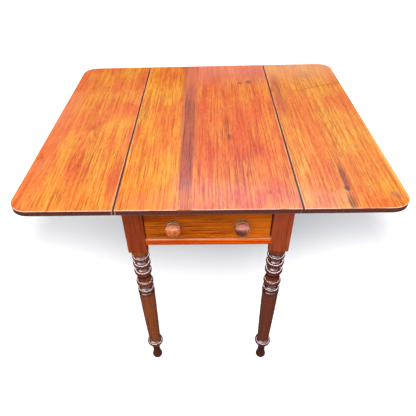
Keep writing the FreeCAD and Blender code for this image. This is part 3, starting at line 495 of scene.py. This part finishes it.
def right_leaf_marks(timber, face):
    behind_knot = (0.357, -0.34, 0.012, 0.1, 1.2)
    before_knot = (0.353, -0.45, 0.013, 0.05, 1.2)
    trail = timber.spots(behind_knot, before_knot) * (timber.smooth(timber.fibre, 0.4, 0.55) * 0.6 + 0.35)
    face = timber.blend(trail, face, paint(110, 58, 40))
    knot = (0.354, -0.398, 0.011, 0.016, 0.9)
    face = timber.stain(face, paint(84, 50, 44), knot, even=0.8)
    near_back = (0.38, 0.37, 0.034, 0.06, 1.4)
    by_joint = (0.258, 0.2, 0.026, 0.26, 1.2)
    face = timber.stain(face, paint(176, 70, 58), near_back, by_joint, even=0.35, lined=0.6)
    crack = timber.y - CRACK_Y - (timber.x - CRACK_X) * CRACK_SLOPE + (timber.streak - MIDDLE) * CRACK_WAVER
    crack = timber.smooth(abs(crack), *CRACK_HALF) * timber.smooth(timber.x, 0.29, 0.34)
    face = timber.blend(crack * 0.65, face, paint(150, 70, 40))
    figure = (0.385, -0.1, 0.05, 0.26, 1.2)
    face = timber.stain(face, paint(176, 78, 36), figure, ringed=0.25)
    # A painted sheen, paler towards the back of the leaf.
    face = timber.blend(timber.smooth(timber.y, 0.22, 0.46) * 0.5, face, paint(255, 188, 134))
    # A painted highlight along the outer edge of the leaf.
    outer_sheen = timber.smooth(timber.x, 0.482, 0.497) * timber.smooth(timber.y, 0.1, -0.2)
    face = timber.blend(outer_sheen * 0.5, face, paint(255, 204, 110))
    scuff = timber.spots((0.466, -0.428, 0.016, 0.022, 0.9)) * timber.smooth(timber.fibre, 0.4, 0.6)
    return timber.blend(scuff * 0.7, face, paint(110, 80, 96))


class PEMBROKE_OT_top_boards(bpy.types.Operator):
    """Finishes the fixed boards of the top and the narrow strip between them"""

    bl_idname = "pembroke.top_boards"
    bl_label = "Finish Top Boards"

    def execute(self, context):
        board("top_board_left", "left_board", left_board_marks, pith=(-0.15, 0.66), lean=0.02, seed=3.7)
        board("top_board_right", "right_board", right_board_marks, pith=(0.06, 0.62), lean=-0.03, seed=11.3)
        timber = Timber("top_strip_finish", "Y", wood().grain_width, pith=(-0.2, 0.7), lean=0.0, seed=21.0)
        old = timber.tones(tone("strip_tone"), paint(112, 50, 34), contrast=1.2)
        old = timber.blend(timber.smooth(timber.y, 0.05, 0.4) * 0.7, old, paint(244, 128, 86))
        new = timber.tones(tone("left_board_pale"), tone("right_board_dark"), tone("right_board_warm"))
        fade = timber.smooth(timber.y + (timber.streak - MIDDLE) * 0.07, -0.33, -0.46)
        face = timber.blend(fade * 0.75, old, new)
        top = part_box("top_strip")[1][2]
        # The strip's dark edge is partly its worn tone and partly painted shade.
        face = timber.blend(timber.from_level(top, *DARK_EDGE), face, tone("edge_tone_and_shade"))
        dress(timber.varnish(face, wood().gloss), "top_strip")
        return {"FINISHED"}


class PEMBROKE_OT_leaves(bpy.types.Operator):
    """Finishes the two drop leaves"""

    bl_idname = "pembroke.leaves"
    bl_label = "Finish Leaves"

    def execute(self, context):
        board("left_leaf", "left_leaf", left_leaf_marks, pith=(-0.37, 0.69), lean=0.05, seed=7.9)
        board("right_leaf", "right_leaf", right_leaf_marks, pith=(0.37, 0.685), lean=-0.06, seed=17.1)
        return {"FINISHED"}


# Width of one year's growth in the legs and rails, the drawer front, the knobs and the hidden timber.
FRAME_RINGS = 0.006
DRAWER_RINGS = 0.007
KNOB_RINGS = 0.004
INNER_RINGS = 0.005

# Height at which the square block of a leg ends and the turning starts.
BLOCK_FOOT = 0.5625

# Heights from there between which the turned wood, the dark of its rings and its polish set in, and between
# which the dark of the rings ends.
TURNED_WOOD = (0.003, -0.003)
RINGS_START = (-0.02, -0.03)
RINGS_END = (-0.2, -0.185)
POLISH = (-0.016, -0.026)

# Depths of the turned grooves below the block, which are darkened with painted shade.
LEG_GROOVES = (0.022, 0.0465, 0.0778, 0.111, 0.159, 0.182, 0.4485, 0.507)
GROOVE_HALF = (0.006, 0.001)

# Heights between which the dark of the knop sets in, and between which the foot gets darker.
DARK_KNOP = (0.119, 0.115)
DARK_FOOT = (0.085, 0.06)

# Tones of the darker feet and of the painted shade in the grooves.
FOOT_DARK_TONE = paint(58, 27, 22)
GROOVE_SHADE = paint(30, 12, 10)


class PEMBROKE_OT_legs(bpy.types.Operator):
    """Finishes the four turned legs"""

    bl_idname = "pembroke.legs"
    bl_label = "Finish Legs"

    def execute(self, context):
        for number, end in enumerate(("front", "back")):
            for side in SIDES:
                self.finish_leg(f"{end}_{side}_leg", side, 5.0 + number * 9.0)
        return {"FINISHED"}

    def finish_leg(self, name, side, seed):
        low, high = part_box(name)
        x, y = (low[0] + high[0]) / 2, (low[1] + high[1]) / 2
        pith = (x + 0.05, y + 0.08)
        timber = Timber(name + "_finish", "Z", FRAME_RINGS, pith, lean=0.01, seed=seed + x * 31.0)
        block = timber.tones(tone(side + "_block"), tone("leg_dark"), contrast=0.7)
        shaft = timber.tones(tone(side + "_shaft"), tone("leg_dark"), contrast=0.5)
        turned = timber.from_level(BLOCK_FOOT, *TURNED_WOOD)
        face = timber.blend(turned, block, shaft)
        ringed = timber.from_level(BLOCK_FOOT, *RINGS_START) * timber.from_level(BLOCK_FOOT, *RINGS_END)
        ringed = ringed + timber.smooth(timber.z, *DARK_KNOP)
        face = timber.blend(ringed * 0.55, face, tone("leg_dark"))
        # The feet get darker towards the bottom.
        face = timber.blend(timber.smooth(timber.z, *DARK_FOOT) * 0.6, face, FOOT_DARK_TONE)
        # Painted shade in the turned grooves.
        for depth in LEG_GROOVES:
            groove_shade = timber.smooth(abs(timber.z - BLOCK_FOOT + depth), *GROOVE_HALF)
            face = timber.blend(groove_shade * 0.85, face, GROOVE_SHADE)
        polished = timber.from_level(BLOCK_FOOT, *POLISH)
        shine = turned * 0.12 + polished * 0.78 + 0.08
        dress(timber.varnish(face, wood().gloss, shine, bend=2.5, glint=0.15, haze=0.13), name)


# Height of the scratched line above the underside of the drawer rail, how far it wavers, and its half width.
RAIL_LINE = 0.011
RAIL_WAVER = 0.003
RAIL_LINE_HALF = (0.0022, 0.0006)

# Heights from the drawer rail's top for its pale arris, a painted highlight, and from its underside for its dark
# foot.
RAIL_ARRIS_HIGHLIGHT = (-0.0022, -0.001)
RAIL_FOOT = (0.004, 0.0015)

# Contrast of the grain in the rails.
RAIL_CONTRAST = 1.3


class PEMBROKE_OT_rails(bpy.types.Operator):
    """Finishes the rails, the fly rails and the swinging brackets"""

    bl_idname = "pembroke.rails"
    bl_label = "Finish Rails"

    def execute(self, context):
        gloss = wood().gloss
        ends = Timber("end_rail_finish", "X", FRAME_RINGS, pith=(-0.5, 0.5), lean=0.02, seed=2.0)
        face = ends.tones(tone("rail_pale"), tone("rail_dark"), contrast=RAIL_CONTRAST)
        dress(ends.varnish(face, gloss, shine=0.06, glint=0.2), "upper_rail", "back_rail")
        self.finish_drawer_rail(gloss)
        for side in SIDES:
            seed = 6.0 + len(side)
            timber = Timber(f"{side}_fly_rail_finish", "Y", FRAME_RINGS, pith=(0.0, 0.5), lean=0.02, seed=seed)
            face = timber.tones(tone(side + "_block"), tone("leg_dark"), contrast=0.9)
            names = [f"{side}_{piece}" for piece in ("fly_rail_front", "fly_bracket", "fly_rail_rear")]
            dress(timber.varnish(face, gloss), *names)
        return {"FINISHED"}

    def finish_drawer_rail(self, gloss):
        low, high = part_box("drawer_rail")
        timber = Timber("drawer_rail_finish", "X", FRAME_RINGS, pith=(-0.5, 0.5), lean=0.02, seed=8.0)
        face = timber.tones(tone("rail_pale"), tone("rail_dark"), contrast=RAIL_CONTRAST)
        waver = (timber.streak - MIDDLE) * RAIL_WAVER
        line = timber.smooth(abs(timber.z + waver - low[2] - RAIL_LINE), *RAIL_LINE_HALF)
        face = timber.blend(line * 0.75, face, paint(110, 36, 10))
        # The pale top arris is a painted highlight.
        arris_highlight = timber.from_level(high[2], *RAIL_ARRIS_HIGHLIGHT) * timber.smooth(timber.patch, 0.3, 0.5)
        face = timber.blend(arris_highlight * 0.7, face, paint(255, 196, 140))
        foot = timber.from_level(low[2], *RAIL_FOOT)
        face = timber.blend(foot * 0.6, face, paint(120, 44, 16))
        dress(timber.varnish(face, gloss), "drawer_rail")


# Heights from the top of the drawer front between which it gets darker.
DRAWER_SHADOW = (-0.03, -0.004)

# Roughness of the bare wood in the drawer and under the top.
DRAWER_ROUGHNESS = 0.55
BARE_ROUGHNESS = 0.6


class PEMBROKE_OT_drawer(bpy.types.Operator):
    """Finishes the drawer front and its bare inner box"""

    bl_idname = "pembroke.drawer"
    bl_label = "Finish Drawer"

    def execute(self, context):
        timber = Timber("drawer_front_finish", "X", DRAWER_RINGS, pith=(-0.42, 0.58), lean=0.03, seed=13.0)
        face = timber.tones(tone("drawer_pale"), tone("drawer_dark"), contrast=1.4)
        smoke = timber.smooth(timber.across(SMOKE), 0.5, 0.7)
        face = timber.blend(smoke * 0.6, face, paint(116, 46, 8))
        face = timber.blend(timber.smooth(timber.x, 0.0, 0.13) * 0.4, face, paint(236, 122, 26))
        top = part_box("drawer_front")[1][2]
        face = timber.blend(timber.from_level(top, *DRAWER_SHADOW) * 0.45, face, paint(96, 36, 8))
        dress(timber.varnish(face, wood().gloss, shine=0.0, glint=0.1), "drawer_front")
        plain = Timber("drawer_box_finish", "Y", INNER_RINGS, pith=(0.0, 0.4), lean=0.02, seed=27.0)
        face = plain.tones(tone("inner_pale"), tone("inner_dark"), contrast=0.7)
        names = ("drawer_left_side", "drawer_right_side", "drawer_back", "drawer_bottom")
        dress(plain.varnish(face, DRAWER_ROUGHNESS), *names)
        return {"FINISHED"}


# Depths of the turned grooves behind the front of a knob, and where its head ends.
KNOB_GROOVES = (0.0205, 0.0253)
KNOB_GROOVE_HALF = (0.0012, 0.0005)
HEAD_END = (0.0185, 0.0165)

# Heights from the middle of a head: its lower half, darkened with painted shade, and its crown, lightened with a
# painted highlight. Then the reach of the painted shade to one side.
SHADED_LOWER_HALF = (0.014, 0.0)
LIT_CROWN = (0.008, 0.018)
SHADED_SIDE = (0.014, 0.002)

# Fineness of the dark specks on the head, and contrast of its grain.
HEAD_SPECKS = 380.0
KNOB_CONTRAST = 0.6

# Tones of the painted highlight and the painted shade on the heads.
HEAD_HIGHLIGHT = paint(214, 132, 112)
HEAD_SHADE_TONE = paint(50, 28, 24)


class PEMBROKE_OT_knobs(bpy.types.Operator):
    """Finishes the two turned knobs"""

    bl_idname = "pembroke.knobs"
    bl_label = "Finish Knobs"

    def execute(self, context):
        for side in SIDES:
            self.finish_knob(side)
        return {"FINISHED"}

    def finish_knob(self, side):
        low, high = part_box(f"{side}_knob")
        front = low[1]
        x, z = (low[0] + high[0]) / 2, (low[2] + high[2]) / 2
        pith = (x - 0.03, z - 0.02)
        timber = Timber(f"{side}_knob_finish", "Y", KNOB_RINGS, pith, lean=0.05, seed=4.0 + x * 40)
        face = timber.tones(tone("knob_pale"), tone("knob_dark"), contrast=KNOB_CONTRAST)
        for depth in KNOB_GROOVES:
            groove = timber.smooth(abs(timber.y - front - depth), *KNOB_GROOVE_HALF)
            face = timber.blend(groove * 0.85, face, tone("knob_dark"))
        head = timber.tones(tone(side + "_head"), tone("knob_dark"), contrast=KNOB_CONTRAST)
        # Dark specks, with painted shade that makes the lower half of the head darker.
        below = timber.from_level(z, *SHADED_LOWER_HALF)
        specks_and_shade = timber.smooth(timber.specks(HEAD_SPECKS), 0.48, 0.56) * (below * 0.75 + 0.15)
        head = timber.blend(specks_and_shade, head, tone("knob_dark"))
        # A painted highlight on the crown of the head.
        rubbed_highlight = timber.from_level(z, *LIT_CROWN)
        head = timber.blend(rubbed_highlight * 0.35, head, HEAD_HIGHLIGHT)
        if side == "right":
            # Painted shade on the lower left of the right head.
            head_shade = below * timber.smooth(timber.x, x + SHADED_SIDE[0], x + SHADED_SIDE[1])
            head = timber.blend(head_shade * 0.75, head, HEAD_SHADE_TONE)
        on_head = timber.smooth(timber.y, front + HEAD_END[0], front + HEAD_END[1])
        face = timber.blend(on_head, face, head)
        dress(timber.varnish(face, 0.3, shine=0.3, bend=1.8), f"{side}_knob")


class PEMBROKE_OT_inner_timber(bpy.types.Operator):
    """Finishes the bare timber under the top"""

    bl_idname = "pembroke.inner_timber"
    bl_label = "Finish Inner Timber"

    def execute(self, context):
        lengthwise = Timber("inner_timber_finish", "Y", INNER_RINGS, pith=(0.0, 0.3), lean=0.02, seed=33.0)
        crosswise = Timber("block_finish", "X", INNER_RINGS, pith=(0.0, 0.3), lean=0.02, seed=41.0)
        pieces = (
            (lengthwise, both_sides("side_rail", "runner", "guide", "kicker")),
            (crosswise, ["drawer_stops", "glue_blocks"]),
        )
        for timber, names in pieces:
            face = timber.tones(tone("inner_pale"), tone("inner_dark"), contrast=0.8)
            dress(timber.varnish(face, BARE_ROUGHNESS), *names)
        return {"FINISHED"}


# Fineness and depth of the grit on the iron and on the screws.
IRON_GRIT, IRON_DEPTH = 240.0, 0.0003
STEEL_GRIT, STEEL_DEPTH = 500.0, 0.0002


class PEMBROKE_OT_ironwork(bpy.types.Operator):
    """Finishes the hinges, pins and screws"""

    bl_idname = "pembroke.ironwork"
    bl_label = "Finish Ironwork"

    def execute(self, context):
        iron = Finish("hinge_iron_finish")
        grit = iron.specks(IRON_GRIT, detail=4.0)
        iron.surface({
            "Base Color": iron.blend(iron.smooth(grit, 0.48, 0.66), tone("iron_tone"), tone("rust_tone")),
            "Roughness": 0.45 + grit * 0.3,
            "Normal": iron.bump(grit, IRON_DEPTH),
            "Metallic": 0.8,
        })
        plates = both_sides("hinge_top_plates", "hinge_leaf_plates", "hinge_pins", "bracket_pin")
        dress(iron.material, *plates)
        steel = Finish("screw_steel_finish")
        grit = steel.specks(STEEL_GRIT, detail=3.0)
        steel.surface({
            "Base Color": steel.blend(steel.smooth(grit, 0.5, 0.7) * 0.6, tone("steel_tone"), tone("rust_tone")),
            "Roughness": 0.35 + grit * 0.25,
            "Normal": steel.bump(grit, STEEL_DEPTH),
            "Metallic": 0.9,
        })
        screws = both_sides("hinge_top_screws", "hinge_leaf_screws")
        dress(steel.material, "top_screws", "fly_rail_screws", *screws)
        return {"FINISHED"}


# The photo camera's place, heading, tilt and roll, the shift of its lens, and the width of its sensor.
EYE = Vector((0.0, -1.2436, 1.3255))
HEADING = -0.037
TILT = 0.777
ROLL = -0.034
LENS_SHIFT = (0.0252, 0.1154)
SENSOR = 36.0

WHITE = (1.0, 1.0, 1.0)
BLACK = (0.0, 0.0, 0.0)

# The drum round the floor: its radius and height, how high its white glow fades, and what it fades to.
DRUM_RADIUS = 19.0
DRUM_HEIGHT = 40.0
DRUM_FADE = 9.0
DRUM_GLOW = (0.86, 0.86, 0.87)

# The floor's fine tooth and the tone of it, the glow that keeps the floor white, and the patch under and behind
# the table that doesn't glow, which fades at its front, its back and its sides.
FLOOR_TOOTH = 30.0
TOOTH_TONE = paint(236, 236, 236)
FLOOR_GLOW = (0.9, 0.9, 0.9)
SHADE_FRONT = (-0.2, 0.42)
SHADE_BACK = (1.2, 0.7)
SHADE_SIDE = (1.15, 0.8)

# The low window lights: headings in degrees, distance from the table, height, and width and height of each.
WINDOW_HEADINGS = (-110, -55, 0, 55, 110)
WINDOW_REACH = 4.2
WINDOW_HEIGHT = 0.47
WINDOW_SIZE = (4.2, 0.5)

# Angle in degrees over which a far lamp spreads.
FAR_SPREAD = 40

# Tints of the lights.
CEILING_TINT = (0.84, 0.85, 1.0)
WINDOW_TINT = (0.94, 0.92, 1.0)
SHEEN_TINT = (0.3, 0.55, 1.0)


def put(data):
    """Puts a mesh, lamp or camera in the scene."""
    thing = bpy.data.objects.new(data.name, data)
    bpy.context.scene.collection.objects.link(thing)
    return thing


def hang(lamp, place, target):
    """Puts a lamp in the scene, turned to its target."""
    holder = put(lamp)
    holder.location = place
    holder.rotation_euler = (Vector(target) - Vector(place)).to_track_quat("-Z", "Y").to_euler()


def far_lamp(name, place, strength):
    """A broad lamp so far off that its light is the same all over the floor."""
    lamp = bpy.data.lights.new(name, "SUN")
    lamp.energy = strength
    lamp.angle = math.radians(FAR_SPREAD)
    hang(lamp, place, (0, 0, 0))


def softbox(name, place, target, size, watts, tint=WHITE):
    lamp = bpy.data.lights.new(name, "AREA")
    lamp.color = tint
    lamp.shape = "RECTANGLE"
    lamp.size, lamp.size_y = size
    lamp.energy = watts
    hang(lamp, place, target)


def backdrop():
    """A pale drum round the floor. Only the camera sees it, so it changes none of the light."""
    drum = bmesh.new()
    bmesh.ops.create_cone(
        drum, cap_ends=True, segments=64, radius1=DRUM_RADIUS, radius2=DRUM_RADIUS, depth=DRUM_HEIGHT
    )
    mesh = bpy.data.meshes.new("studio_backdrop")
    drum.to_mesh(mesh)
    drum.free()
    paper = Finish("studio_backdrop_paper")
    glow = paper.blend(paper.smooth(paper.z, 0.0, DRUM_FADE), WHITE, DRUM_GLOW)
    paper.surface({
        "Base Color": (*BLACK, 1.0), "Roughness": 1.0, "Emission Color": glow, "Emission Strength": 1.0
    })
    mesh.materials.append(paper.material)
    wall = put(mesh)
    wall.visible_diffuse = False
    wall.visible_glossy = False
    wall.visible_transmission = False
    wall.visible_shadow = False


def lay_floor(stage):
    """A pale floor that glows, except under and behind the table."""
    half = stage.floor_size / 2
    mesh = bpy.data.meshes.new("studio_floor")
    corners = [(-half, -half, 0), (half, -half, 0), (half, half, 0), (-half, half, 0)]
    mesh.from_pydata(corners, [], [(0, 1, 2, 3)])
    paper = Finish("studio_floor_paper")
    face = paper.blend(paper.specks(FLOOR_TOOTH) * 0.06, tuple(stage.floor_tone), TOOTH_TONE)
    shaded = paper.smooth(paper.y, *SHADE_FRONT) * paper.smooth(paper.y, *SHADE_BACK)
    shaded = shaded * paper.smooth(abs(paper.x), *SHADE_SIDE)
    glow = paper.blend(shaded, FLOOR_GLOW, BLACK)
    paper.surface({"Base Color": face, "Roughness": 0.9, "Emission Color": glow, "Emission Strength": 1.0})
    mesh.materials.append(paper.material)
    floor = put(mesh)
    floor.visible_glossy = False
    floor.visible_diffuse = False


def light_stage(scene, stage):
    """A faint sky, a ceiling light, windows round the front and sides, two far lamps and two lights behind."""
    world = bpy.data.worlds.new("studio")
    world.use_nodes = True
    sky = world.node_tree.nodes["Background"]
    sky.inputs["Color"].default_value = (*WHITE, 1.0)
    sky.inputs["Strength"].default_value = stage.sky_strength
    scene.world = world
    softbox(
        "ceiling_light", place=(0.0, -2.4, 3.8), target=(0, -2.39, 0), size=(7.0, 6.0),
        watts=stage.ceiling_power, tint=CEILING_TINT,
    )
    for number, turn in enumerate(WINDOW_HEADINGS):
        heading = math.radians(turn)
        place = (WINDOW_REACH * math.sin(heading), -WINDOW_REACH * math.cos(heading), WINDOW_HEIGHT)
        target = (0, 0, WINDOW_HEIGHT)
        softbox(f"window_light_{number + 1}", place, target, WINDOW_SIZE, stage.window_power, WINDOW_TINT)
    far_lamp("key_light", place=(-0.5, -0.6, 1.0), strength=stage.key_strength)
    far_lamp("fill_light", place=(0.2, 0.4, 1.4), strength=stage.fill_strength)
    softbox(
        "back_panel", place=(0.0, 5.0, 3.9), target=(0, 0, 0.73), size=(7.0, 2.4), watts=stage.panel_power
    )
    softbox(
        "back_light", place=(0.6, 2.66, 3.42), target=(0.1, -0.46, 0.73), size=(2.2, 1.0),
        watts=stage.back_power, tint=SHEEN_TINT,
    )


def set_camera(scene, focal_length):
    """A camera at the photograph's viewing angle."""
    lens = bpy.data.cameras.new("photo_camera")
    lens.lens = focal_length
    lens.sensor_width = SENSOR
    lens.sensor_fit = "HORIZONTAL"
    lens.shift_x, lens.shift_y = LENS_SHIFT
    camera = put(lens)
    ahead = Vector((math.sin(HEADING) * math.cos(TILT), math.cos(HEADING) * math.cos(TILT), -math.sin(TILT)))
    right = Vector((math.cos(HEADING), -math.sin(HEADING), 0.0))
    up = right.cross(ahead)
    rolled_right = right * math.cos(ROLL) + up * math.sin(ROLL)
    rolled_up = up * math.cos(ROLL) - right * math.sin(ROLL)
    turn = Matrix((rolled_right, rolled_up, -ahead)).transposed()
    camera.matrix_world = Matrix.Translation(EYE) @ turn.to_4x4()
    scene.camera = camera


class PEMBROKE_OT_stage(bpy.types.Operator):
    """Sets the pale floor, the soft lights and the camera"""

    bl_idname = "pembroke.stage"
    bl_label = "Set Stage"

    def execute(self, context):
        stage = context.scene.pembroke_stage
        lay_floor(stage)
        backdrop()
        light_stage(context.scene, stage)
        set_camera(context.scene, stage.lens)
        context.scene.view_settings.view_transform = "Standard"
        return {"FINISHED"}


OPERATORS = (
    PEMBROKE_OT_top_boards,
    PEMBROKE_OT_leaves,
    PEMBROKE_OT_legs,
    PEMBROKE_OT_rails,
    PEMBROKE_OT_drawer,
    PEMBROKE_OT_knobs,
    PEMBROKE_OT_inner_timber,
    PEMBROKE_OT_ironwork,
    PEMBROKE_OT_stage,
)


class PEMBROKE_PT_panel(bpy.types.Panel):
    """Lists the finishes and the stage"""

    bl_idname = "PEMBROKE_PT_panel"
    bl_label = "Pembroke Table"
    bl_space_type = "VIEW_3D"
    bl_region_type = "UI"
    bl_category = "Pembroke Table"

    def draw(self, context):
        for settings in (context.scene.pembroke_wood, context.scene.pembroke_stage):
            box = self.layout.box()
            for name in settings.__annotations__:
                box.prop(settings, name)
        for operator in OPERATORS:
            self.layout.operator(operator.bl_idname)


CLASSES = (PembrokeWood, PembrokeStage, *OPERATORS, PEMBROKE_PT_panel)


def register():
    for cls in CLASSES:
        bpy.utils.register_class(cls)
    bpy.types.Scene.pembroke_wood = PointerProperty(type=PembrokeWood)
    bpy.types.Scene.pembroke_stage = PointerProperty(type=PembrokeStage)


def unregister():
    del bpy.types.Scene.pembroke_stage
    del bpy.types.Scene.pembroke_wood
    for cls in reversed(CLASSES):
        bpy.utils.unregister_class(cls)


def main():
    register()
    bpy.ops.pembroke.top_boards()
    bpy.ops.pembroke.leaves()
    bpy.ops.pembroke.legs()
    bpy.ops.pembroke.rails()
    bpy.ops.pembroke.drawer()
    bpy.ops.pembroke.knobs()
    bpy.ops.pembroke.inner_timber()
    bpy.ops.pembroke.ironwork()
    bpy.ops.pembroke.stage()


if __name__ == "__main__":
    main()
